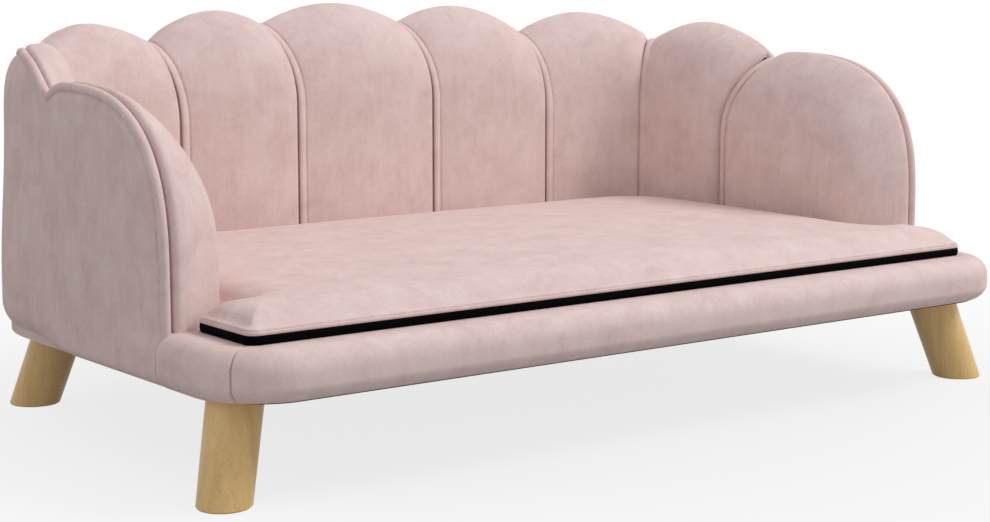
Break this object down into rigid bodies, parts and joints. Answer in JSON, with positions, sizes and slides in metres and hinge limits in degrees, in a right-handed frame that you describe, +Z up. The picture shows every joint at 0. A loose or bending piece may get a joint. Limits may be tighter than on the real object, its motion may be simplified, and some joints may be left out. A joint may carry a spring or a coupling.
{
  "type": "pet sofa bed",
  "caption": "Small upholstered sofa for a pet: a low base on splayed round wooden legs, a scalloped wall of padded channels round three sides, and a loose T-shaped seat cushion.",
  "frame": {"origin": "on the floor, under the middle of the footprint", "axes": "+X to the right in a front view, along the seat's width; +Y from the open front to the back wall; +Z up"},
  "size_m": [0.9776, 0.6062, 0.4075],
  "materials": {
    "velvet": "short-pile velvet, dusty pink",
    "band_cloth": "plain weave, black",
    "foam": "open-cell foam, off-white",
    "board": "bare fibreboard and plywood",
    "timber": "sawn softwood",
    "leg_wood": "clear satin varnish, pale beech",
    "steel": "zinc plated",
    "lining": "thin nonwoven, black",
    "zip_cloth": "woven tape, black",
    "zip_metal": "black enamel"
  },
  "bodies": {
    "sofa": {"arm_board_left": "board", "arm_board_right": "board", "back_board": "board", "back_rail": "timber", "cap_rib": "board", "channel_1": "velvet", "channel_2": "velvet", "channel_3": "velvet", "channel_4": "velvet", "channel_5": "velvet", "channel_6": "velvet", "channel_7": "velvet", "channel_8": "velvet", "channel_9": "velvet", "corner_board_left": "board", "corner_board_right": "board", "corner_rib_left": "timber", "corner_rib_right": "timber", "cross_rail_left": "timber", "cross_rail_right": "timber", "deck_board": "board", "dust_cover": "lining", "front_cover": "velvet", "front_foam": "foam", "front_rail": "timber", "hanger_bolts": "steel", "inner_board": "board", "leg_block_front_left": "timber", "leg_block_front_right": "timber", "leg_block_rear_left": "timber", "leg_block_rear_right": "timber", "leg_front_left": "leg_wood", "leg_front_right": "leg_wood", "leg_rear_left": "leg_wood", "leg_rear_right": "leg_wood", "outer_cover": "velvet", "outer_piping": "velvet", "seat_cover": "velvet", "seat_foam": "foam", "side_rail_left": "timber", "side_rail_right": "timber", "sole_rib": "board", "threaded_inserts": "steel", "wall_posts": "timber", "welt_1": "velvet", "welt_2": "velvet", "welt_3": "velvet", "welt_4": "velvet", "welt_5": "velvet", "welt_6": "velvet", "welt_7": "velvet", "welt_8": "velvet"},
    "cushion": {"cushion_top": "velvet", "cushion_core": "foam", "cushion_base": "band_cloth", "zip_tape": "zip_cloth"},
    "zip_slider": {"zip_slider": "zip_metal"}
  },
  "joints": [
    {"name": "cushion_lift", "type": "slide", "parent": "sofa", "child": "cushion", "axis": [0, 0, 1], "range_m": [0, 0.27]},
    {"name": "zip_slide", "type": "slide", "parent": "cushion", "child": "zip_slider", "axis": [1, 0, 0], "range_m": [0, 0.577]}
  ]
}
